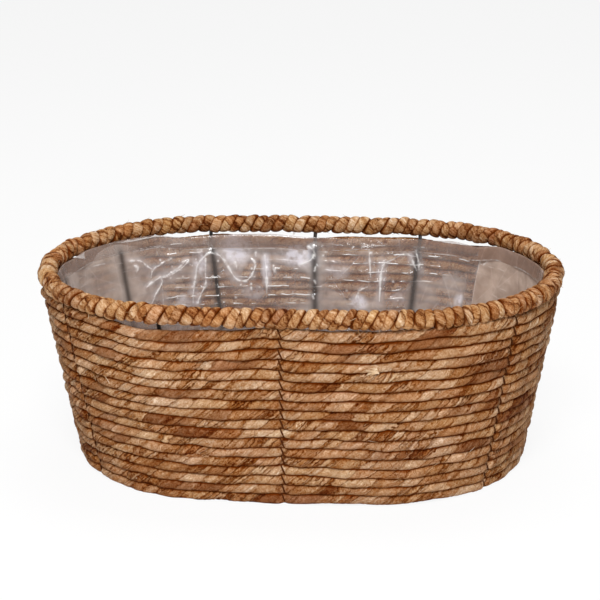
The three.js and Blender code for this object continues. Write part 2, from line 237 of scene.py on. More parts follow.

# White creases in the liner's film, partly its own whitening and partly painted highlights: half width, how
# white, and the places it runs through, each in thousandths of the way round and millimetres below the fold
FILM_CREASES = (
    (0.53, 0.9, (
        (632, 35), (624, 33), (614, 26), (608, 20), (605, 19), (607, 22), (614, 28), (624, 34), (631, 36),
    )),
    (0.61, 0.9, ((632, 35), (640, 38), (647, 41))),
    (0.61, 0.9, ((632, 35), (631, 39), (634, 43), (637, 46), (641, 50))),
    (0.61, 0.8, ((641, 34), (638, 28), (631, 25), (626, 22), (620, 19))),
    (0.53, 0.8, ((660, 18), (653, 18), (647, 20), (642, 25), (638, 28))),
    (1.07, 0.7, ((655, 22), (652, 24), (654, 27))),
    (0.38, 0.5, ((631, 40), (634, 61))),
    (0.38, 0.5, ((633, 42), (646, 57))),
    (0.69, 1.0, (
        (606, 57), (604, 46), (601, 36), (598, 25), (592, 18), (586, 14), (579, 16), (574, 21), (570, 29),
        (565, 38), (558, 40), (554, 37), (550, 30), (549, 24), (552, 20),
    )),
    (0.61, 0.9, ((590, 19), (592, 33), (593, 42), (598, 50), (602, 58))),
    (0.77, 0.8, ((565, 24), (564, 29))),
    (0.77, 0.9, ((548, 15), (548, 18))),
    (0.53, 0.6, ((541, 18), (540, 30), (540, 39))),
    (0.91, 1.0, ((540, 38), (540, 45))),
    (0.53, 0.5, ((540, 45), (541, 56))),
    (0.69, 0.9, ((553, 45), (553, 47))),
    (1.07, 0.6, ((534, 26), (533, 32))),
    (1.00, 0.9, ((505, 8), (501, 11), (502, 18), (512, 24))),
    (0.53, 0.9, ((456, 10), (455, 22), (454, 33))),
    (0.69, 1.0, ((443, 20), (445, 25), (446, 33), (446, 44), (446, 54))),
    (0.69, 0.8, ((456, 42), (462, 45), (466, 53))),
    (0.91, 0.9, ((464, 50), (462, 59))),
    (0.46, 0.5, ((481, 35), (464, 16))),
    (0.84, 1.0, ((418, 10), (415, 19), (414, 25))),
    (0.69, 0.6, ((422, 14), (419, 21), (416, 26))),
    (0.46, 0.5, ((444, 21), (435, 16), (428, 12), (422, 14))),
    (0.46, 0.5, ((361, 12), (361, 28), (361, 47))),
    (0.85, 0.8, ((501, 7), (501, 11))),
    (0.85, 0.8, ((499, 25), (500, 28))),
    (0.85, 0.9, ((500, 37), (499, 40))),
    (0.85, 0.8, ((502, 50), (501, 53))),
    (0.61, 0.7, ((356, 14), (351, 11), (346, 10))),
)
CREASE_STOPS = 24  # from one place to the next

# Cloudy patches: the middle in the same way, half width, half height, and how cloudy
FILM_HAZE = (
    (564, 12, 16, 17, 1.0), (514, 16, 21, 12, 1.0), (503, 14, 7, 10, 1.0), (463, 56, 9, 9, 1.0),
    (375, 47, 5, 9, 0.8), (595, 22, 9, 14, 0.8), (604, 52, 8, 16, 0.5), (540, 30, 6, 20, 0.8),
    (419, 16, 8, 11, 0.8), (613, 57, 9, 9, 0.6), (481, 26, 14, 11, 0.6), (446, 30, 6, 20, 0.5),
    (550, 50, 14, 9, 0.5), (430, 50, 9, 9, 0.4),
)

# The photograph's camera, in radians, millimetres and pixels
PHOTO_SIZE = 600
CAMERA_YAW = -0.114
CAMERA_ELEVATION = 0.313
CAMERA_ROLL = 0.012
CAMERA_DISTANCE = 1307.6
CAMERA_FOCUS = 1700.8
CAMERA_AIM_X = 0.344
CAMERA_AIM_Z = 118.51
SENSOR = 36

# Floor and light, in metres
FLOOR_HALF = 12.0
PAPER_GLOW = 0.88
AMBIENT = 0.21
LAMP_AIM = (0, 0, 0.08)

# Colours. Dry leaf goes from the darkest tone to the palest
LEAF_TONES = ("481600", "783e11", "9c6a3e", "b48b66", "c9a685", "e3cbb0")
RIM_TONES = ("4a1f08", "7f4b25", "a8794d", "c29a73", "d6b695", "ecdac5")
LOOSE_TONES = ((0.25, "855530"), (0.5, "b58a5f"), (0.75, "dcc3a2"), (0.9, "f3e8d6"))
THREAD_TONES = ((0.2, "34180b"), (0.6, "522a14"), (0.95, "70431f"))
LEAF_TINTS = (("e9be99", 90.0, 0.37), ("dbcacb", 110.0, 0.53), ("f3e4b8", 60.0, 0.83))  # length, shift
DARK_LEAF = "b0865f"
SEAM = "521d00"
# Painted shade in the grooves between courses of the wall and between turns of the rim
ROPE_GROOVE_SHADE = "6b2c00"
RIM_GROOVE_SHADE = "632900"
WIRE_PAINT = "1f1c1b"
WIRE_WORN = "3a2c24"
FILM_TONES = ("d6c5bc", "f4ebe6")
FILM_CUFF = "b8aaa3"
FILM_CLOUDED = "f4f0f8"
FILM_PANEL = "ebdccf"
# Painted shadow of a rib on the film
FILM_RIB_SHADE = "322d2b"
# Painted highlights on the film: white creases, glints and dashes
FILM_GLINT_WHITE = "fdfcfb"
PAPER = "f2f2f2"


# Plan of the basket: ovals of four arcs, followed by the angle of their outward normal from the front

def oval(half_length, half_width, side_radius):
    end_radius = (2 * side_radius * half_width - half_length**2 - half_width**2) / (
        2 * (side_radius - half_length)
    )
    side_angle = np.arctan2(half_length - end_radius, side_radius - half_width)
    return half_length, half_width, side_radius, end_radius, side_angle


def perimeter(shape):
    _, _, side_radius, end_radius, side_angle = shape
    return 4 * (side_radius * side_angle + end_radius * (math.pi / 2 - side_angle))


def angle_at_share(shape, share):
    """The normal's angle after a share of the way round, anticlockwise from the front."""
    _, _, side_radius, end_radius, side_angle = shape
    side = side_radius * side_angle
    quarter = side + end_radius * (math.pi / 2 - side_angle)
    quarters = np.mod(share, 1) * 4
    half_turns = np.floor(quarters / 2)
    half = quarters - 2 * half_turns
    along = np.where(half <= 1, half, 2 - half) * quarter
    angle = np.where(along < side, along / side_radius, side_angle + (along - side) / end_radius)
    return half_turns * math.pi + np.where(half <= 1, angle, math.pi - angle)


def oval_at(shape, angle, inset=0):
    """Points (n, 2) of the oval moved inwards by inset, and their outward normals."""
    half_length, half_width, side_radius, end_radius, side_angle = shape
    nx, ny = np.sin(angle), -np.cos(angle)
    on_side = np.abs(ny) > np.cos(side_angle)
    radius = np.where(on_side, side_radius, end_radius) - inset
    cx = np.where(on_side, 0, np.sign(nx) * (half_length - end_radius))
    cy = np.where(on_side, -np.sign(ny) * (side_radius - half_width), 0)
    return np.stack([cx + radius * nx, cy + radius * ny], -1), np.stack([nx, ny], -1)


def raised(flat, z=0.0):
    """Points (n, 3) over points of the plan (n, 2), at one height or at n."""
    return np.column_stack([flat, np.broadcast_to(z, len(flat))])


RIM_OVAL = oval(RIM_HALF_LENGTH, RIM_HALF_WIDTH, RIM_SIDE_RADIUS)
RIM_PERIMETER = perimeter(RIM_OVAL)


def wall_oval(z):
    rise = (z - FIRST_COURSE_Z) / (TOP_COURSE_Z - FIRST_COURSE_Z)
    return oval(
        BASE_HALF_LENGTH + (RIM_HALF_LENGTH - BASE_HALF_LENGTH) * rise,
        BASE_HALF_WIDTH + (RIM_HALF_WIDTH - BASE_HALF_WIDTH) * rise,
        BASE_SIDE_RADIUS + (RIM_SIDE_RADIUS - BASE_SIDE_RADIUS) * rise,
    )


# Seeded unevenness and other curves

def wander(x, seed, wavelength, size=1.0, count=10):
    """Smooth noise along x, about size in size, with waves from half to twice this length."""
    rng = np.random.default_rng(seed)
    total = np.zeros_like(x)
    for _ in range(count):
        length = wavelength * 2 ** rng.uniform(-1, 1)
        total += np.cos(TURN * (x / length + rng.uniform()))
    return size * (total / math.sqrt(count / 2))


def lap_wander(share, course, seed, waves, drift=0, size=1.0, count=10):
    """The same round the basket: it closes on itself, and changes slowly from course to course."""
    rng = np.random.default_rng(seed)
    total = np.zeros_like(share)
    for _ in range(count):
        phase = rng.uniform() + course * drift * rng.uniform(-1, 1)
        total += np.cos(TURN * (share * rng.integers(*waves) + phase))
    return size * (total / math.sqrt(count / 2))


def ease(x, low, high):
    t = np.clip((x - low) / (high - low), 0, 1)
    return t * t * (3 - 2 * t)


def between(share, start, end, soft):
    """1 from start to end of the way round, 0 elsewhere, with soft sides."""
    share = np.mod(share, 1)
    return ease(share, start - soft, start) * (1 - ease(share, end, end + soft))


def bell(away, reach):
    return np.exp(-((away / reach) ** 2))


def past_nearest(x, period=1):
    """How far x is past the nearest whole number of periods, below 0 when it is before it."""
    return np.mod(x + period / 2, period) - period / 2


def fuller(wave, power):
    """A sine or cosine with rounder shoulders the further power is below one."""
    return np.sign(wave) * np.abs(wave) ** power


# Meshes

def skin(name, grids, material, caps=False):
    """A mesh over grids, each a pair: points (rows, columns, 3), joined round the columns, and
    {name: (rows, columns + 1, 2)}, its UV maps."""
    vertices, polygons, layers = [], [], {}
    start = 0
    for points, maps in grids:
        rows, columns = points.shape[:2]
        row, column = np.meshgrid(np.arange(rows - 1), np.arange(columns), indexing="ij")
        after = (column + 1) % columns
        corners = [(row, column), (row, after), (row + 1, after), (row + 1, column)]
        faces = np.stack([r * columns + c for r, c in corners], -1).reshape(-1, 4) + start
        polygons += faces.tolist()
        places = [(row, column), (row, column + 1), (row + 1, column + 1), (row + 1, column)]
        for map_name, uv in maps.items():
            layer = layers.setdefault(map_name, [])
            layer.append(np.stack([uv[r, c] for r, c in places], -2).reshape(-1, 2))
            if caps:
                layer.append(np.repeat(uv[[0, -1], 0], columns, axis=0))
        if caps:
            first = np.arange(columns) + start
            last = first + (rows - 1) * columns
            polygons += [first[::-1].tolist(), last.tolist()]
        vertices.append(points.reshape(-1, 3))
        start += rows * columns
    mesh = bpy.data.meshes.new(name)
    mesh.from_pydata((np.concatenate(vertices) * MM).tolist(), [], polygons)
    for map_name, parts in layers.items():
        layer = mesh.uv_layers.new(name=map_name)
        layer.data.foreach_set("uv", np.concatenate(parts).ravel().astype(np.float32))
    mesh.shade_smooth()
    piece = bpy.data.objects.new(name, mesh)
    bpy.context.scene.collection.objects.link(piece)
    mesh.materials.append(material)
    return piece


def run_of(path):
    """Distance (n) along a path (n, 3) from its start."""
    return np.concatenate([[0], np.cumsum(np.linalg.norm(np.diff(path, axis=0), axis=1))])


def tube(path, radius, sides):
    """The grid of a round tube along a path (n, 3), its sections square to the path."""
    ahead = np.gradient(path, axis=0)
    ahead /= np.linalg.norm(ahead, axis=1, keepdims=True)
    side = np.cross(ahead, UPRIGHT)
    side[np.linalg.norm(side, axis=1) < TINY] = (1, 0, 0)
    side /= np.linalg.norm(side, axis=1, keepdims=True)
    lift = np.cross(side, ahead)
    turn = np.linspace(0, TURN, sides, endpoint=False)
    reach = np.broadcast_to(np.asarray(radius, float), (len(path),))[:, None, None]
    ring = np.cos(turn)[None, :, None] * side[:, None] + np.sin(turn)[None, :, None] * lift[:, None]
    uv = np.stack(np.broadcast_arrays(run_of(path)[:, None], np.linspace(0, 1, sides + 1)[None]), -1)
    return path[:, None] + reach * ring, {"along": uv}


def place(piece, slot_name, *nodes):
    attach(piece, "root")
    if nodes:
        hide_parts(*nodes)
    return piece


# Materials

def colour(code):
    """A linear colour from a written one such as b5854f."""
    parts = [int(code[i : i + 2], 16) / 255 for i in (0, 2, 4)]
    return [p / 12.92 if p <= 0.04045 else ((p + 0.055) / 1.055) ** 2.4 for p in parts] + [1]


class Finish:
    """One procedural material. Most methods add a node and return the socket it gives."""

    def __init__(self, name):
        self.material = bpy.data.materials.new(name)
        self.material.use_nodes = True
        self.tree = self.material.node_tree
        self.shader = self.tree.nodes["Principled BSDF"]

    def feed(self, socket, value):
        if isinstance(value, bpy.types.NodeSocket):
            self.tree.links.new(value, socket)
        else:
            socket.default_value = value

    def set(self, **values):
        for name, value in values.items():
            self.feed(self.shader.inputs[name.replace("_", " ")], value)

    def add(self, kind, *values, **settings):
        """A node, its first sockets fed with values."""
        node = self.tree.nodes.new("ShaderNode" + kind)
        for name, value in settings.items():
            setattr(node, name, value)
        for socket, value in zip(node.inputs, values):
            self.feed(socket, value)
        return node

    def add_named(self, kind, values, **settings):
        """The first socket of a node whose sockets are fed by name."""
        node = self.add(kind, **settings)
        for name, value in values.items():
            self.feed(node.inputs[name], value)
        return node.outputs[0]

    def math(self, operation, *values):
        return self.add("Math", *values, operation=operation).outputs[0]

    def minus(self, a, b):
        return self.math("SUBTRACT", a, b)

    def larger(self, a, b):
        return self.math("MAXIMUM", a, b)

    def plus(self, first, *others):
        for value in others:
            first = self.math("ADD", first, value)
        return first

    def times(self, first, *others):
        for value in others:
            first = self.math("MULTIPLY", first, value)
        return first

    def weigh(self, start, *pairs):
        """start and each value times its weight, added up."""
        return self.plus(start, *(self.times(value, weight) for value, weight in pairs))

    def centred(self, value, weight):
        """value from 0..1 about 0, times a weight."""
        return self.times(self.minus(value, 0.5), weight)

    def grade(self, value, span, to=(0.0, 1.0)):
        """value eased from one span to another, and held at its ends."""
        return self.add("MapRange", value, *span, *to, interpolation_type="SMOOTHSTEP").outputs[0]

    def uv(self, map_name):
        parts = self.add("SeparateXYZ", self.add("UVMap", uv_map=map_name).outputs[0])
        return parts.outputs[0], parts.outputs[1]

    def place(self):
        return self.add("TexCoord").outputs["Object"]

    def vector(self, x, y=0.0, z=0.0):
        return self.add("CombineXYZ", x, y, z).outputs[0]

    def noise(self, vector, scale=1.0, detail=2.0, roughness=0.5):
        values = {"Vector": vector, "Scale": scale, "Detail": detail, "Roughness": roughness}
        return self.add_named("TexNoise", values)

    def random(self, number):
        return self.add_named("TexWhiteNoise", {"W": number}, noise_dimensions="1D")

    def bump(self, height, strength, distance):
        return self.add_named("Bump", {"Height": height, "Strength": strength, "Distance": distance * MM})

    def ramp(self, value, stops):
        node = self.add("ValToRGB", value)
        elements = node.color_ramp.elements
        while len(elements) < len(stops):
            elements.new(0.5)
        for element, (position, code) in zip(elements, stops):
            element.position = position
            element.color = colour(code)
        return node.outputs[0]

    def mix(self, share, a, b, kind="MIX"):
        """Two colours mixed. The node has its colours in sockets 6 and 7 and gives one from socket 2."""
        node = self.add("Mix", data_type="RGBA", blend_type=kind)
        for socket, value in ((0, share), (6, a), (7, b)):
            self.feed(node.inputs[socket], value)
        return node.outputs[2]

    def tinted(self, share, base, code):
        """base, multiplied by a written colour to this share."""
        return self.mix(share, base, self.mix(1.0, base, colour(code), "MULTIPLY"))


def leaf_finish(
    name, tones, level, strip_spread, patch_spread, tint_share, seam_share, groove, groove_shade_share, groove_shade_code
):
    """Twisted strips of dry leaf: a tone for each strip, fibres along it, and dark seams between strips.
    Shade is
    painted in: each strip darker towards its seams, and each rope darker towards the ropes beside it, most of
    all in the painted groove shade. groove is where that painted shade starts and ends, in shares of the half
    height."""
    f = Finish(name)
    strips, around = f.uv("strips")
    across, along = f.uv("lay")
    crinkle, width = f.uv("kind")
    spot = f.place()
    strip = f.math("FLOOR", strips)
    off_middle = f.math("ABSOLUTE", f.minus(f.math("FRACT", strips), 0.5))
    from_seam = f.times(f.minus(0.5, off_middle), width)
    from_middle = f.math("ABSOLUTE", f.math("SINE", f.times(around, TURN)))

    def fibre(fineness, length, detail, roughness):
        in_strip = f.vector(f.times(across, fineness), f.math("DIVIDE", along, length), strip)
        return f.noise(in_strip, detail=detail, roughness=roughness)

    def own(shift):
        """A number of its own for each strip."""
        return f.random(f.plus(strip, shift))

    def stretch(length, shift):
        """Slow change along the rope, which jumps a little from strip to strip."""
        on_rope = f.vector(f.math("DIVIDE", across, length), shift, shift)
        return f.plus(f.noise(on_rope), f.centred(own(shift), 0.14))

    fine = fibre(fineness=0.9, length=9.0, detail=4.0, roughness=0.7)
    broad = fibre(fineness=0.35, length=14.0, detail=3.0, roughness=0.6)
    hairs = f.grade(fibre(fineness=1.9, length=16.0, detail=2.0, roughness=0.5), (0.58, 0.7))
    mottle = f.noise(spot, scale=300.0, detail=4.0, roughness=0.7)
    grain = f.noise(spot, scale=1100.0, roughness=0.6)
    tone = f.plus(
        level,
        f.centred(own(0.0), strip_spread),
        f.centred(stretch(length=40.0, shift=3.1), patch_spread),
        f.centred(fine, 1.35),
        f.centred(broad, 0.75),
        f.centred(mottle, 0.6),
        f.centred(grain, 0.8),
        f.centred(f.noise(spot, scale=17.0), 0.45 * patch_spread),
        # painted shade: each strip darker towards its seams, as a plump strip is shaded, and each rope darker
        # towards the ropes beside it
        f.grade(from_seam, (0.0, 2.4), to=(-0.2, 0.02)),
        f.grade(from_middle, (0.4, 0.95), to=(0.02, -0.2)),
    )
    base = f.ramp(tone, [(i / (len(tones) - 1), code) for i, code in enumerate(tones)])
    for code, length, shift in LEAF_TINTS:
        amount = f.plus(stretch(length, shift), f.centred(own(shift + 0.1), 0.3))
        base = f.tinted(f.grade(amount, (0.46, 0.72), to=(0.0, tint_share)), base, code)
    streak = f.grade(stretch(length=85.0, shift=6.15), (0.55, 0.66))
    base = f.tinted(f.times(streak, patch_spread), base, DARK_LEAF)
    # painted shade in the groove against the neighbouring rope, uneven along it
    uneven = f.grade(stretch(length=25.0, shift=5.7), (0.35, 0.55), to=(0.7, 1.0))
    shadow = f.times(f.grade(from_middle, groove, to=(0.0, groove_shade_share)), uneven)
    base = f.mix(shadow, base, colour(groove_shade_code))
    clear = f.larger(crinkle, f.grade(own(0.71), (0.2, 1.0), to=(0.1, 0.8)))
    seam = f.times(f.grade(from_seam, (0.1, 0.75), to=(1.0, 0.0)), clear)
    dark = f.larger(f.times(seam, seam_share), f.times(hairs, 0.15))
    height = f.weigh(0.0, (fine, 0.9), (broad, 0.8), (mottle, 0.4), (seam, -0.6), (hairs, -0.25))
    f.set(Base_Color=f.mix(dark, base, colour(SEAM)), Normal=f.bump(height, strength=1.0, distance=0.9))
    f.set(Roughness=0.6, Specular_IOR_Level=0.03)
    return f.material


def loose_finish(name):
    """Pale dry leaf, darker towards the root of a fibre."""
    f = Finish(name)
    along, _ = f.uv("along")
    tone = f.plus(f.noise(f.place(), scale=120.0), f.grade(along, (0.0, 8.0), to=(-0.2, 0.2)))
    f.set(Base_Color=f.ramp(tone, LOOSE_TONES), Roughness=0.7, Specular_IOR_Level=0.05)
    return f.material


def wire_finish(name):
    """Black paint on wire, a little worn to brown."""
    f = Finish(name)
    spot = f.place()
    wear = f.grade(f.noise(spot, scale=180.0, detail=4.0, roughness=0.6), (0.5, 0.75))
    f.set(Base_Color=f.mix(wear, colour(WIRE_PAINT), colour(WIRE_WORN)))
    f.set(Roughness=f.grade(wear, (0.0, 1.0), to=(0.38, 0.6)))
    f.set(Normal=f.bump(f.noise(spot, scale=700.0), strength=0.3, distance=0.3))
    return f.material


def thread_finish(name):
    """Dark waxed thread of two plies."""
    f = Finish(name)
    along, around = f.uv("along")
    ply = f.math("SINE", f.times(f.plus(along, around), TURN))
    fuzz = f.noise(f.vector(f.times(along, 3.0), f.times(around, 6.0)), detail=3.0)
    tone = f.plus(f.times(ply, 0.25), fuzz)
    f.set(Base_Color=f.ramp(tone, THREAD_TONES), Normal=f.bump(tone, strength=0.6, distance=0.2))
    f.set(Roughness=0.8, Specular_IOR_Level=0.02)
    return f.material


def film_finish(name):
    """Clear film gone cloudy: white along its creases, partly its own whitening and partly painted
    highlights, with painted glints in dashes on the rope's courses; clearer where it lies on the rope, milky
    in panels, and darker over a rib with a painted shadow. A panel below 0 is clearer film."""
    f = Finish(name)
    across, drop = f.uv("flat")
    white, haze = f.uv("marks")
    touch, rib = f.uv("touch")
    course, panel = f.uv("course")
    spot = f.place()
    cloud = f.noise(spot, scale=40.0, detail=3.0, roughness=0.55)
    cuff = f.grade(drop, (-CUFF_SOFT, 0.0), to=(1.0, 0.0))
    above_cuff_edge = f.grade(drop, (CUFF_HEIGHT - CUFF_SOFT, CUFF_HEIGHT), to=(1.0, 0.0))
    behind_cuff = f.minus(above_cuff_edge, cuff)
    # painted highlights: white dashes along the crowns of the courses, where the film lies on the rope
    lane = f.vector(f.times(across, 0.08), f.times(f.math("FLOOR", course), 3.7))
    dash_shown = f.grade(f.noise(lane, detail=1.0), (0.48, 0.6), to=(0.0, 0.9))
    dash_line = f.grade(cloud, (0.3, 0.7), to=(0.5, 0.75))
    from_line = f.math("ABSOLUTE", f.minus(f.math("FRACT", course), dash_line))
    glint_dash = f.times(f.grade(from_line, (0.02, 0.09), to=(1.0, 0.0)), touch, dash_shown)
    broken = f.grade(f.noise(spot, scale=300.0), (0.36, 0.56), to=(0.3, 1.0))
    creases_and_glints = f.larger(f.times(white, broken), glint_dash)
    patchy = f.grade(f.noise(spot, scale=130.0, detail=3.0, roughness=0.6), (0.3, 0.62), to=(0.35, 1.0))
    hazy = f.times(haze, patchy)
    alpha = f.times(
        f.grade(cloud, (0.3, 0.7), to=(0.24, 0.52)),
        f.grade(touch, (0.0, 1.0), to=(1.0, 0.6)),
        f.grade(behind_cuff, (0.0, 1.0), to=(1.0, 0.3)),
    )
    alpha = f.weigh(alpha, (hazy, 0.6), (panel, 0.42), (creases_and_glints, 0.85), (rib, 0.42))
    base = f.mix(cloud, *(colour(code) for code in FILM_TONES))
    base = f.tinted(cuff, base, FILM_CUFF)
    base = f.mix(hazy, base, colour(FILM_CLOUDED))
    base = f.tinted(panel, base, FILM_PANEL)
    # painted shadow of a rib: a soft dark band over it
    base = f.mix(f.times(rib, 0.9), base, colour(FILM_RIB_SHADE))
    # painted highlights: white on the creases, glints and dashes
    base = f.mix(creases_and_glints, base, colour(FILM_GLINT_WHITE))
    height = f.weigh(f.noise(spot, scale=120.0), (creases_and_glints, 0.5))
    f.set(Base_Color=base, Alpha=f.larger(f.math("MINIMUM", alpha, 0.94), 0.05))
    f.set(Roughness=0.12, IOR=1.9, Normal=f.bump(height, strength=0.6, distance=1.2))
    return f.material


def paper_finish(name):
    """White paper. Seen straight or in a reflection it is nearly white by itself, and it keeps the shadow."""
    f = Finish(name)
    f.set(Base_Color=colour(PAPER), Roughness=0.9, Specular_IOR_Level=0.1)
    rays = f.add("LightPath").outputs
    seen = f.larger(f.larger(rays["Is Camera Ray"], rays["Is Glossy Ray"]), rays["Is Transmission Ray"])
    glow = f.add("Emission", (1, 1, 1, 1), 1.0)
    both = f.add("MixShader", f.times(seen, PAPER_GLOW), f.shader.outputs[0], glow.outputs[0])
    f.feed(f.tree.nodes["Material Output"].inputs["Surface"], both.outputs[0])
    return f.material


LEAF_ROPE = leaf_finish(
    "leaf rope", LEAF_TONES, level=0.545, strip_spread=0.28, patch_spread=0.72, tint_share=0.34,
    seam_share=0.62, groove=(0.7, 0.9), groove_shade_share=0.97, groove_shade_code=ROPE_GROOVE_SHADE,
)
RIM_ROPE = leaf_finish(
    "rim rope", RIM_TONES, level=0.465, strip_spread=0.28, patch_spread=0.4, tint_share=0.45,
    seam_share=0.42, groove=(0.66, 0.9), groove_shade_share=1.0, groove_shade_code=RIM_GROOVE_SHADE,
)
LOOSE_LEAF = loose_finish("loose leaf")
WIRE = wire_finish("black wire")
THREAD = thread_finish("dark thread")
FILM = film_finish("liner film")


# Twisted rope

# It goes once round in the length of its lay. Its strips have widths along it, where crinkled and where
# smooth, and ragged edges. A fullness below one makes its section squarer than an oval.
Twist = namedtuple("Twist", "material lay strips relief ragged fullness")
LEAF_TWIST = Twist(LEAF_ROPE, 24, strips=((3.2, 7.5), (7, 24)), relief=0.7, ragged=1.5, fullness=(0.97, 1.0))
WRAP_TWIST = Twist(RIM_ROPE, -15, strips=((6, 8), (8, 14)), relief=0.5, ragged=0.2, fullness=(0.9, 0.9))


def leaf_seams(length, twist, rng, crinkle_seed):
    """Where the leaf strips of a rope of this length start, from two lays before it to two lays after it,
    and which of them are crinkled."""
    margin = 2 * abs(twist.lay)
    span = length + 2 * margin
    crinkles = wander(np.arange(int(span) + 2, dtype=float), crinkle_seed, wavelength=CRINKLE_LENGTH)
    seams, crinkled = [-margin], []
    while seams[-1] < span - margin:
        crinkled.append(crinkles[int(seams[-1] + margin)] > CRINKLE_OVER)
        seams.append(seams[-1] + rng.uniform(*twist.strips[0 if crinkled[-1] else 1]))
    return np.array(seams), np.array(crinkled + [False], float)


def rope_skin(name, line, out, up, half_out, half_up, twist, sides, seed, free_top=0.0):
    """A twisted rope along a line (n, 3): uneven leaf strips wound round it, with creases between them.
    out and up (n, 3) are the ways in which its section has the half sizes half_out and half_up.
    free_top is 1 where nothing lies on the rope, so that it has no painted groove shade there."""
    girth_seed, knot_seed, crinkle_seed, lean_seed, *stray_seeds = range(seed + 2, seed + 8)
    rng = np.random.default_rng(seed)
    run = run_of(line)
    seams, crinkled = leaf_seams(run[-1], twist, rng, crinkle_seed)
    widths = np.diff(seams, append=seams[-1] + twist.strips[1][1])
    turn = np.linspace(0, TURN, sides + 1)
    lean = 1 + wander(run, lean_seed, wavelength=40, size=0.3)[:, None]
    lay = run[:, None] + twist.lay * lean * (0.5 - turn[None] / TURN)
    for (change, wavelength, share), stray_seed in zip(STRIP_STRAYS, stray_seeds):
        strayed = run[:, None] + change * np.sin(turn)[None]
        lay += wander(strayed, stray_seed, wavelength, share * twist.ragged)
    strip = np.interp(lay, seams, np.arange(len(seams)))
    number = np.floor(strip).astype(int)
    part = strip - number
    proud = rng.uniform(*STRIP_PROUD, len(seams))[number]
    plump = 1 - np.abs(2 * part - 1) ** PLUMP_POWER
    lapped = ease(part, 0, LAP_EDGE) * (1 - LAP_FALL * part**2)
    form = PLUMP_SHARE * plump + (1 - PLUMP_SHARE) * lapped - STRIP_SINK
    grow = twist.relief * proud * (1 + CRINKLE_GAIN * crinkled[number]) * form
    girth = 1 + wander(run, girth_seed, wavelength=45, size=0.03)
    girth += wander(run, knot_seed, wavelength=14, size=0.02)
    girth *= TAPER_LEFT + (1 - TAPER_LEFT) * ease(np.minimum(run, run[-1] - run), 0, TAPER_LENGTH)
    depth = np.broadcast_to(half_out, run.shape)[:, None] * girth[:, None] + grow
    height = np.broadcast_to(half_up, run.shape)[:, None] + RELIEF_UP * grow
    outwards = -fuller(np.cos(turn), twist.fullness[0])[None] * depth
    upwards = -fuller(np.sin(turn), twist.fullness[1])[None] * height
    points = line[:, None] + outwards[..., None] * out[:, None] + upwards[..., None] * up[:, None]
    points[..., 2] = np.maximum(points[..., 2], 0)
    around = np.broadcast_to(turn[None] / TURN, strip.shape)
    # the way round the section that sets the painted groove shade, none on the upper side where nothing lies
    # on the rope
    to_groove_shade = around - np.maximum(around - 0.5, 0) * np.broadcast_to(free_top, run.shape)[:, None]
    maps = {
        "strips": np.stack([strip, to_groove_shade], -1),
        "lay": np.stack([lay, around * TURN * ROPE_HALF_DEPTH], -1),
        "kind": np.stack([crinkled[number], widths[number]], -1),
    }
    return skin(name, [(points[:, :-1], maps)], twist.material, caps=True)


def upright_at(points):
    return np.broadcast_to(UPRIGHT, points.shape)


# Wall rope: eighteen courses, each climbing to the next at the back left

TOP_COURSE = COURSES - 1
COURSE_PITCH = (TOP_COURSE_Z - ROPE_HALF_DEPTH) / TOP_COURSE
SEWN_SHARES = [i / RIB_COUNT for i, place_name in enumerate(RIB_PLACES) if place_name not in PLAIN_RIBS]


def pinch_at(share):
    """From 0 to 1, how close a place round the basket is to a line of stitches."""
    close = np.zeros_like(share)
    for sewn in SEWN_SHARES:
        close = np.maximum(close, bell(past_nearest(share - sewn) * RIM_PERIMETER, PINCH_REACH))
    return close


def crowding(share):
    """How far the top course is pushed up against the rim."""
    open_back, open_front = between(share, *GAP_BACK), between(share, *GAP_FRONT)
    return CROWDING * (1 - open_back) * (1 - CROWDING_LOST * open_front) + CROWDING_BACK * open_back


def edge_sway(share, edge):
    """How far the line between two courses strays from level. edge counts courses from the floor."""
    slow = lap_wander(share, edge, seed=11, waves=(3, 12), drift=0.06, size=0.65)
    quick = lap_wander(share, edge, seed=12, waves=(7, 26), drift=0.45, size=0.42)
    foot = FOOT_LIFT + lap_wander(share, 0, seed=14, waves=(3, 14), size=FOOT_LIFT)
    freely = ease(edge, 0, FOOT_COURSES)
    return freely * (slow + quick) + (1 - freely) * np.maximum(foot, 0)


def wall_line(course, share):
    """Centre points (n, 3) of the wall rope, outward normals, and half heights that keep it tight."""
    rise = course / TOP_COURSE
    below, above = edge_sway(share, course), edge_sway(share, course + 1)
    z = ROPE_HALF_DEPTH + course * COURSE_PITCH + crowding(share) * rise**2 + (below + above) / 2
    bulge = lap_wander(share, course, seed=13, waves=(6, 40), drift=0.5, size=0.45)
    angle = angle_at_share(RIM_OVAL, share)
    flat, normal = oval_at(wall_oval(z), angle, PINCH_DEPTH * pinch_at(share) - bulge)
    half_height = COURSE_PITCH / 2 + (above - below) / 2 + ROPE_OVERLAP
    return raised(flat, z), raised(normal), half_height


climb_share = (CLIMB_END - CLIMB_START) / MARKS
wall_steps = int(COURSES * RIM_PERIMETER / ROPE_STEP)
wound = np.linspace(-START_TUCK * climb_share, COURSES - climb_share, wall_steps)
laps = np.floor(wound)
wall_course = laps + ease(wound - laps, 1 - climb_share, 1)
wall_share = wound + CLIMB_END / MARKS
wall_points, wall_normals, wall_half = wall_line(wall_course, wall_share)
wall_depth = ROPE_HALF_DEPTH * (1 - PINCH_THIN * pinch_at(wall_share))
wall = rope_skin(
    "wall_rope_coil", wall_points, wall_normals, upright_at(wall_points), wall_depth, wall_half, LEAF_TWIST,
    ROPE_SIDES, seed=21, free_top=ease(wall_course, TOP_COURSE - FREE_RISE, TOP_COURSE),
)
place(wall, "leaf_rope", "wall_rope")


# Base rope: an oval coil from a hairpin in the middle, each loop stepping out across the back

base_pitch = BASE_HALF_WIDTH / (BASE_LOOPS + 0.5)


def base_oval(loops_inwards):
    return oval(
        BASE_HALF_LENGTH - loops_inwards * base_pitch,
        BASE_HALF_WIDTH - loops_inwards * base_pitch,
        BASE_SIDE_RADIUS / (1 - loops_inwards / (BASE_LOOPS + 1)),
    )


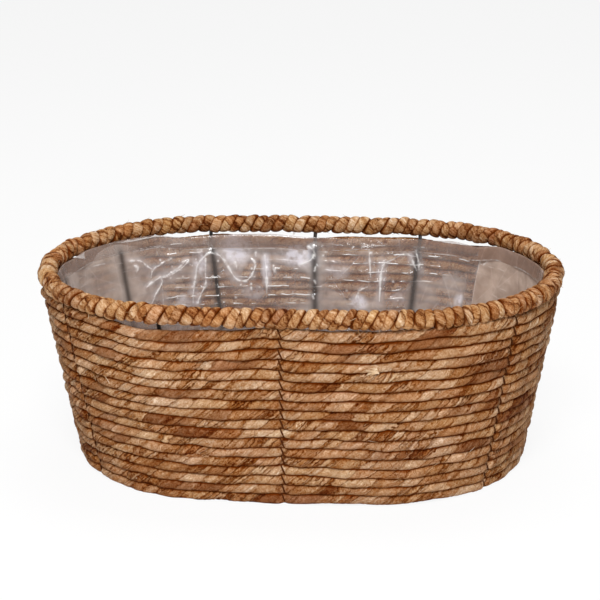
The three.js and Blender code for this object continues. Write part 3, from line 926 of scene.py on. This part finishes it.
base_steps = int(BASE_LOOPS * BASE_LOOP_LENGTH / BASE_ROPE_STEP)
base_turns = np.linspace(-BASE_HAIRPIN, BASE_LOOPS - BASE_END, base_steps)
base_loop = np.floor(base_turns)
base_part = base_turns - base_loop
step_share = BASE_STEP_LENGTH / perimeter(base_oval(BASE_LOOPS - np.maximum(base_loop, 0)))
loops_left = np.minimum(BASE_LOOPS - base_loop - ease(base_part, 1 - step_share, 1), BASE_LOOPS)
base_shape = base_oval(loops_left)
base_flat, base_normal = oval_at(base_shape, angle_at_share(base_shape, base_part + 0.5))
base_line = raised(base_flat, BASE_ROPE_Z + wander(base_turns, seed=31, wavelength=0.4, size=0.25))
base = rope_skin(
    "base_rope_coil", base_line, upright_at(base_line), -raised(base_normal), ROPE_HALF_DEPTH,
    base_pitch / 2 + ROPE_OVERLAP, LEAF_TWIST, BASE_ROPE_SIDES, seed=33,
)
place(base, "leaf_rope", "base_rope")


# Rim wrap: a soft rope wound round the ring wire, turn beside turn

def wrap_at(turns):
    """How far round the rim, in millimetres, the wrap is after this many turns."""
    share = WRAP_FROM + turns / WRAP_TURNS
    skew = WRAP_SKEW * (1 - (1 + WRAP_BACK_TURN) * between(share, *WRAP_BACK))
    uneven = wander(turns, seed=41, wavelength=2.0, size=0.5)
    uneven += wander(turns, seed=46, wavelength=0.7, size=0.3)
    uneven -= WRAP_CROWDING * np.sin(TURN * (share - WRAP_CLOSEST))
    return share * RIM_PERIMETER + uneven + skew * np.sin(TURN * (turns + WRAP_START))


wrap_turns = np.linspace(0, WRAP_TURNS, WRAP_TURNS * WRAP_STEPS + 1)
wrap_flat, wrap_normal = oval_at(RIM_OVAL, angle_at_share(RIM_OVAL, wrap_at(wrap_turns) / RIM_PERIMETER))
wrap_around = TURN * (wrap_turns + WRAP_START)
wrap_out = np.cos(wrap_around)[:, None] * raised(wrap_normal) + np.sin(wrap_around)[:, None] * UPRIGHT
wrap_side = np.cross(UPRIGHT, raised(wrap_normal))
wrap_tilt = wander(wrap_turns, seed=44, wavelength=0.9, size=0.14)[:, None]
wrap_reach = WRAP_MIDDLE + wander(wrap_turns, seed=47, wavelength=1.2, size=0.25)
wrap_line = raised(wrap_flat, RIM_Z) + wrap_reach[:, None] * wrap_out
wrap_swell = 1 + WRAP_SWELL * np.cos(wrap_around + WRAP_SWELL_AT)
wrap_swell += wander(wrap_turns, seed=42, wavelength=0.8, size=0.07)
wrap_half_out = WRAP_HALF_THICKNESS * wrap_swell
wrap_room = (wrap_at(wrap_turns + 1) - wrap_at(wrap_turns - 1)) / 4
wrap_half_up = wrap_room * (WRAP_OVERLAP + wander(wrap_turns, seed=43, wavelength=0.9, size=0.06))
rim = rope_skin(
    "rim_rope_wrap", wrap_line, wrap_out, wrap_side + wrap_tilt * wrap_out, wrap_half_out, wrap_half_up,
    WRAP_TWIST, WRAP_SIDES, seed=48,
)
place(rim, "rim_rope", "rim_wrap")


# Loose leaf: fibres that stand off the rope, one frayed end and one spliced tail

def fibre(rng, kind, root, along, out):
    """The grid of a fibre from a root on the rope, that leaves it slowly. along and out are directions."""
    length, lift, curl, radius = (rng.uniform(*span) for span in kind[1:])
    part = np.linspace(0, 1, FIBRE_STOPS)[:, None]
    path = root + length * part * along + lift * part**2 * out + curl * part**2 * np.cross(along, out)
    return tube(path, radius * np.linspace(1, FIBRE_TIP, FIBRE_STOPS), FIBRE_SIDES)


def wall_spot(course, share):
    """What wall_line gives, for one place."""
    return (values[0] for values in wall_line(np.array([float(course)]), np.array([share])))


def wall_fibre(rng):
    point, normal, half = wall_spot(rng.integers(0, COURSES), rng.uniform())
    turn = rng.uniform(-WALL_ROOT_TURN, WALL_ROOT_TURN)
    root = point + WALL_ROOT * ROPE_HALF_DEPTH * math.cos(turn) * normal + half * math.sin(turn) * UPRIGHT
    tangent = np.cross(UPRIGHT, normal) * rng.choice((-1, 1))
    lean = rng.uniform(-WALL_LEAN, WALL_LEAN)
    return fibre(rng, WALL_FIBRES, root, math.cos(lean) * tangent + math.sin(lean) * UPRIGHT, normal)


def rim_fibre(rng):
    i = rng.integers(0, len(wrap_line))
    lean = rng.uniform(0, TURN)
    root = wrap_line[i] + RIM_ROOT * wrap_half_out[i] * wrap_out[i]
    along = math.cos(lean) * wrap_side[i] + math.sin(lean) * np.cross(wrap_side[i], wrap_out[i])
    return fibre(rng, RIM_FIBRES, root, along, wrap_out[i])


def fray_fibre(rng):
    courses_off, along_off = (rng.uniform(*span) for span in FRAY_SPREAD)
    point, normal, _ = wall_spot(FRAY_COURSE + courses_off, FRAY_SHARE + along_off / RIM_PERIMETER)
    along = np.cross(normal, UPRIGHT) + rng.uniform(*FRAY_RISE) * UPRIGHT
    points, maps = fibre(rng, FRAY_FIBRES, point + ROPE_HALF_DEPTH * normal, along, normal)
    return points, {"along": maps["along"] + (FRAY_PALE, 0)}


fibre_rng = np.random.default_rng(71)
fibres = [wall_fibre(fibre_rng) for _ in range(WALL_FIBRES.count)]
fibres += [rim_fibre(fibre_rng) for _ in range(RIM_FIBRES.count)]
fibres += [fray_fibre(fibre_rng) for _ in range(FRAY_FIBRES.count)]
place(skin("loose_fibres", fibres, LOOSE_LEAF, caps=True), "leaf_rope")

tail_line, tail_normal, _ = wall_line(np.full(TAIL_STEPS, TAIL_COURSE), np.linspace(*TAIL_SHARES, TAIL_STEPS))
tail_line += TAIL_STAND * tail_normal
tail = rope_skin(
    "spliced_tail", tail_line, tail_normal, upright_at(tail_line), TAIL_HALF_DEPTH,
    TAIL_HALF_HEIGHT * np.sin(np.linspace(*TAIL_SWELL, TAIL_STEPS)), LEAF_TWIST, BASE_ROPE_SIDES, seed=77,
)
place(tail, "leaf_rope")


# Stitches: a thread over each course at a sewn rib, and behind the rib in the grooves between courses

def stitch_path(share):
    """From the top course down: over a course on the outside, in through the groove below it, behind the rib,
    and out again through the same groove."""
    over = np.linspace(OVER_COURSE, -OVER_COURSE, OVER_STOPS)
    slant = STITCH_SLANT * np.linspace(-0.5, 0.5, OVER_STOPS)
    behind = np.linspace(0, math.pi, BEHIND_STOPS)
    depth = ROPE_HALF_DEPTH * (1 - PINCH_THIN) + THREAD_OUT
    stops = []
    for course in range(TOP_COURSE, -1, -1):
        spots, normal, half = wall_line(np.full(OVER_STOPS, float(course)), share + slant / RIM_PERIMETER)
        spots += depth * np.cos(over)[:, None] * normal
        spots[:, 2] += (half * GROOVE_HEIGHT + THREAD_UP) * np.sin(over)
        stops.append(spots)
        if course > 0:
            round_rib = share + RIB_HOLD * np.cos(behind) / RIM_PERIMETER
            z = wall_line(np.full(BEHIND_STOPS, course - 0.5), round_rib)[0][:, 2]
            inset = RIB_INSET + RIB_HOLD * np.sin(behind)
            flat, _ = oval_at(wall_oval(z), angle_at_share(RIM_OVAL, round_rib), inset)
            stops.append(raised(flat, z))
    path = np.concatenate(stops)
    return path[path[:, 2] > 2 * THREAD_RADIUS]


for rib, place_name in enumerate(RIB_PLACES):
    if place_name not in PLAIN_RIBS:
        grid = tube(stitch_path(rib / RIB_COUNT), THREAD_RADIUS, THREAD_SIDES)
        thread = skin(f"thread_{place_name}", [grid], THREAD, caps=True)
        place(thread, "thread", f"stitch_{place_name}")


# Liner: one bag of film, its top edge folded inwards into a cuff

def film_profile():
    """Rows of the film as pairs, inset and height, in three lists: cuff and fold, wall, and corner."""
    top = LINER_TOP_Z - FOLD_RADIUS
    knee = LINER_TOP_Z - FILM_UPPER_DEPTH
    corner = LINER_FLOOR_Z + FILM_CORNER
    cuff = [(CUFF_STAND, z) for z in np.linspace(LINER_TOP_Z - CUFF_HEIGHT, top, CUFF_ROWS)]
    for t in np.linspace(0, math.pi, FOLD_STOPS)[1:-1]:
        cuff.append((CUFF_STAND / 2 * (1 + math.cos(t)), top + FOLD_RADIUS * math.sin(t)))
    upper = np.linspace(top, knee, FILM_UPPER_ROWS, endpoint=False)
    wall_z = [*upper, *np.linspace(knee, corner, FILM_LOWER_ROWS)]
    rounding = [
        (FILM_CORNER * (1 - math.cos(t)), LINER_FLOOR_Z + FILM_CORNER * (1 - math.sin(t)))
        for t in np.linspace(0, math.pi / 2, CORNER_STOPS)[1:]
    ]
    return cuff, [(0, z) for z in wall_z], rounding


def crumple(x, y, seed, spacing):
    """Cones that meet in sharp creases, from 0 up: the distance to the nearest of scattered points."""
    rng = np.random.default_rng(seed)
    count = int(RIM_PERIMETER * (y.max() - y.min()) / spacing**2)
    nearest = np.full(x.shape, np.inf)
    for px, py in zip(rng.uniform(0, RIM_PERIMETER, count), rng.uniform(y.min(), y.max(), count)):
        nearest = np.minimum(nearest, np.hypot(past_nearest(x - px, RIM_PERIMETER), y - py))
    return np.hypot(nearest, CRUMPLE_ROUND * spacing)


def dented(x, y, kinds):
    """Dents of several kinds together, each as in DENTS."""
    return sum(steep * crumple(x, y * squash, seed, spacing) for steep, squash, seed, spacing in kinds)


def film_line(stops):
    """A smooth line (n, 2) in millimetres through stops, given as in FILM_CREASES."""
    points = np.array(stops, float) * (RIM_PERIMETER / 1000, 1)
    points = np.concatenate([[2 * points[0] - points[1]], points, [2 * points[-1] - points[-2]]])
    part = np.linspace(0, 1, CREASE_STOPS)[:, None]
    runs = []
    for a, b, c, d in zip(points, points[1:], points[2:], points[3:]):
        straight = (c - a) / 2
        bent = a - 2.5 * b + 2 * c - d / 2
        turned = 1.5 * (b - c) + (d - a) / 2
        runs.append(b + straight * part + bent * part**2 + turned * part**3)
    return np.concatenate(runs)


def near_line(line, columns, rows, half_widths):
    """1 on a line and 0 well away from it, for each place of a grid: columns (n) across and rows (m) down."""
    near = np.zeros((len(rows), len(columns)))
    for (px, py), half_width in zip(line, np.broadcast_to(half_widths, len(line))):
        reach = 3 * half_width
        left, right = np.searchsorted(columns, (px - reach, px + reach))
        top, bottom = np.searchsorted(rows, (py - reach, py + reach))
        away = np.hypot(columns[None, left:right] - px, rows[top:bottom, None] - py)
        window = near[top:bottom, left:right]
        np.maximum(window, bell(away, half_width), out=window)
    return near


# The smooth bag, row by row from the edge of the cuff over the fold and down to the middle of the floor
film_share = np.concatenate([
    np.linspace(0, FILM_BACK[0], FILM_FRONT_COLUMNS // 2, endpoint=False),
    np.linspace(*FILM_BACK, FILM_BACK_COLUMNS, endpoint=False),
    np.linspace(FILM_BACK[1], 1, FILM_FRONT_COLUMNS // 2 + 1),
])
film_angle = angle_at_share(RIM_OVAL, film_share)
low_back = between(film_share, *FILM_LOW_BACK)
ends_up = 1 - low_back - between(film_share + 0.5, *FILM_LOW_FRONT)
edge_rise = FILM_END_RISE * ends_up + FILM_BACK_RISE * low_back
edge_rise += lap_wander(film_share, 0, seed=54, waves=(4, 30), size=0.4)
cuff_rows, wall_rows, corner_rows = film_profile()
wall_from = len(cuff_rows)
corner_from = wall_from + len(wall_rows)
floor_from = corner_from + len(corner_rows)
layers = []
for inset, z in cuff_rows + wall_rows + corner_rows:
    height = z + edge_rise * ease(z, LINER_FLOOR_Z + FILM_CORNER, LINER_TOP_Z)
    flat, _ = oval_at(wall_oval(height), film_angle, FILM_INSET + inset)
    layers.append(raised(flat, height))
for shrink in np.linspace(1, FLOOR_LEFT, FILM_FLOOR_ROWS)[1:]:
    layers.append(layers[floor_from - 1] * (shrink, shrink, 1))
film = np.stack(layers)
film_across = film_share * RIM_PERIMETER
film_down = np.concatenate([[0], np.cumsum(np.linalg.norm(np.diff(film, axis=0), axis=2).mean(1))])
film_down -= film_down[wall_from]
film_x, film_y = np.meshgrid(film_across, film_down)

# Where it lies on the wall, the rope, the ribs and the floor, and the ribs' painted shadow
to_floor = ease(film_down, film_down[corner_from], film_down[floor_from - 1])[:, None]
on_wall = ease(film_down, 0, FILM_SETTLES)[:, None] * (1 - to_floor)
on_rope = between(film_share, *FILM_ON_ROPE)
patches = wander(film_x + PATCH_SLANTS[0] * film_y, seed=55, wavelength=70)
patches += wander(film_y + PATCH_SLANTS[1] * film_x, seed=56, wavelength=45, size=0.6)
touch = on_wall * (TOUCH_LEAST + (1 - TOUCH_LEAST) * on_rope) * ease(patches, *TOUCH_PATCHES)
from_rib = np.abs(past_nearest(film_share * RIB_COUNT)) / RIB_COUNT * RIM_PERIMETER
# painted shadow of each rib on the film: a soft dark band, fainter through the cuff
rib_shade_band = on_wall * bell(from_rib, RIB_BLUR)
rib_shade_band[:wall_from] = RIB_IN_CUFF * bell(from_rib, RIB_BLUR)
right_panel = between(film_share, *RIGHT_PANEL)
panels = (right_panel + LEFT_PANEL_SHARE * between(film_share, *LEFT_PANEL)) * (1 - to_floor)
panels -= FLOOR_CLEARER * to_floor
rib_shade_band *= 1 - PANEL_HIDES * right_panel

# White creases, partly painted highlights, painted glints, and haze with a painted glow round the creases
white, ridge, glow = np.zeros((3, *film_x.shape))
for number, (half_width, whiteness, stops) in enumerate(FILM_CREASES):
    line = film_line(stops)
    stop_numbers = np.arange(len(line), dtype=float)
    uneven = wander(stop_numbers, CREASE_SEED + number, wavelength=40, size=CREASE_UNEVEN)
    white_widths = half_width * np.clip(1 + uneven, *CREASE_LIMITS)
    for marks, half_widths in ((white, white_widths), (ridge, RIDGE_HALF_WIDTH), (glow, GLOW_HALF_WIDTH)):
        np.maximum(marks, whiteness * near_line(line, film_across, film_down, half_widths), out=marks)
# painted highlights: small white glints scattered over the back of the film
glint_rng = np.random.default_rng(62)
for _ in range(GLINTS):
    spot = [[glint_rng.uniform(*GLINT_SHARES) * RIM_PERIMETER, glint_rng.uniform(*GLINT_DROPS)]]
    whiteness, half_width = glint_rng.uniform(*GLINT_WHITE), glint_rng.uniform(*GLINT_SIZES)
    white = np.maximum(white, whiteness * near_line(spot, film_across, film_down, half_width))
# painted highlight along the cuff's cut edge
white[0] = CUFF_EDGE_GLINT * ease(wander(film_across, seed=58, wavelength=60), *CUFF_EDGE_PATCHES)
# a painted glow of haze round the creases, then the milky patches of the film
haze = CREASE_HAZE * glow
for thousandths, drop, half_width, half_height, cloudiness in FILM_HAZE:
    away = np.hypot((film_x - thousandths / 1000 * RIM_PERIMETER) / half_width, (film_y - drop) / half_height)
    haze = np.maximum(haze, cloudiness * (1 - ease(away, *HAZE_EDGE)))
touch = touch * (1 - HAZE_LIFTS * haze)

# Dents, ripples on the rope and slack between ribs push the film in and out
dents = dented(film_x, film_y, DENTS)
dents -= dents.mean()
on_floor = film[corner_from:]
floor_dents = dented(on_floor[..., 0] + RIM_PERIMETER / 2, on_floor[..., 1], FLOOR_DENTS)
floor_dents -= floor_dents.min()
dents *= 1 - to_floor
dents[corner_from:] += floor_dents * to_floor[corner_from:]
# cloudy where a dent bends the film: partly its own whitening, partly a painted highlight
bend = sum(np.abs(np.gradient(np.gradient(dents, axis=axis), axis=axis)) for axis in (0, 1))
haze = np.maximum(haze, BEND_HAZE * np.clip(bend / BEND_FULL, 0, 1))
film_course = (film[..., 2] - ROPE_HALF_DEPTH) / COURSE_PITCH + 0.5
ripple = -RIPPLE * np.cos(TURN * film_course)
below_wall = (film_down > film_down[corner_from])[:, None]
share_of_dents = np.where(below_wall, 1.0, on_wall * (1 - EDGE_DENTS) + EDGE_DENTS)
share_of_dents = share_of_dents * (END_DENTS + (1 - END_DENTS) * on_rope)
push = dents * share_of_dents + RIDGE_HEIGHT * ridge + ripple * touch
push -= FILM_SLACK * on_wall * np.sin(math.pi * film_share * RIB_COUNT) ** 2
least = FILM_LEAST[1] - (FILM_LEAST[1] - FILM_LEAST[0]) * bell(from_rib, RIB_REACH)
push = np.where(push < 0, -least * np.tanh(-push / least), push)
inwards = np.cross(np.gradient(film, axis=1), np.gradient(film, axis=0))
inwards /= np.maximum(np.linalg.norm(inwards, axis=2, keepdims=True), TINY)
inwards[floor_from:] = UPRIGHT
film = film + inwards * push[..., None]
maps = {
    "flat": np.stack([film_x, film_y], -1),
    "marks": np.stack([white, haze], -1),
    "touch": np.stack([touch, rib_shade_band], -1),
    "course": np.stack([film_course, panels], -1),
}
liner = skin("liner_film", [(film[:, :-1], maps)], FILM)
place(liner, "film", "liner")


# Wire frame: the solid model's own wires, painted black

for node_name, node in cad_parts.items():
    if node_name.startswith(("rib_", "base_wire_")) or node_name.endswith("_ring_wire"):
        node.data.materials.clear()
        node.data.materials.append(WIRE)


# Floor, light and camera

floor_mesh = bpy.data.meshes.new("floor")
floor_corners = [(x * FLOOR_HALF, y * FLOOR_HALF, 0) for x, y in ((-1, -1), (1, -1), (1, 1), (-1, 1))]
floor_mesh.from_pydata(floor_corners, [], [(0, 1, 2, 3)])
floor_mesh.materials.append(paper_finish("paper"))
floor = bpy.data.objects.new("floor", floor_mesh)
bpy.context.scene.collection.objects.link(floor)

# The world is white to the camera and dim to everything else
world = bpy.data.worlds.new("studio")
world.use_nodes = True
bpy.context.scene.world = world
nodes, links = world.node_tree.nodes, world.node_tree.links
rays = nodes.new("ShaderNodeLightPath")
strength = nodes.new("ShaderNodeMapRange")
strength.inputs["To Min"].default_value = AMBIENT
links.new(rays.outputs["Is Camera Ray"], strength.inputs["Value"])
links.new(strength.outputs[0], nodes["Background"].inputs["Strength"])
nodes["Background"].inputs["Color"].default_value = (1, 1, 1, 1)


def softbox(name, at, size, watts):
    light = bpy.data.lights.new(name, "AREA")
    light.shape = "RECTANGLE"
    light.size, light.size_y = size
    light.energy = watts
    lamp = bpy.data.objects.new(name, light)
    lamp.location = at
    lamp.rotation_euler = (Vector(LAMP_AIM) - Vector(at)).to_track_quat("-Z", "Y").to_euler()
    bpy.context.scene.collection.objects.link(lamp)


softbox("key", at=(0.05, -1.45, 1.75), size=(0.8, 0.7), watts=39)
softbox("front", at=(0.25, -2.1, 0.7), size=(0.5, 0.5), watts=9.5)
softbox("top", at=(0.1, 0.4, 1.7), size=(1.1, 0.7), watts=12)

camera_data = bpy.data.cameras.new("camera")
camera_data.sensor_width = SENSOR
camera_data.lens = CAMERA_FOCUS / PHOTO_SIZE * SENSOR
camera = bpy.data.objects.new("camera", camera_data)
bpy.context.scene.collection.objects.link(camera)
right = Vector((math.cos(CAMERA_YAW), -math.sin(CAMERA_YAW), 0))
ahead = Vector((math.sin(CAMERA_YAW), math.cos(CAMERA_YAW), 0))
skywards = Vector(UPRIGHT)
back = -ahead * math.cos(CAMERA_ELEVATION) + skywards * math.sin(CAMERA_ELEVATION)
up = ahead * math.sin(CAMERA_ELEVATION) + skywards * math.cos(CAMERA_ELEVATION)
rolled_right = math.cos(CAMERA_ROLL) * right - math.sin(CAMERA_ROLL) * up
rolled_up = math.sin(CAMERA_ROLL) * right + math.cos(CAMERA_ROLL) * up
eye = (right * CAMERA_AIM_X + skywards * CAMERA_AIM_Z + back * CAMERA_DISTANCE) * MM
camera.matrix_world = Matrix.Translation(eye) @ Matrix((rolled_right, rolled_up, back)).transposed().to_4x4()
bpy.context.scene.camera = camera

bpy.context.scene.view_settings.view_transform = "Standard"
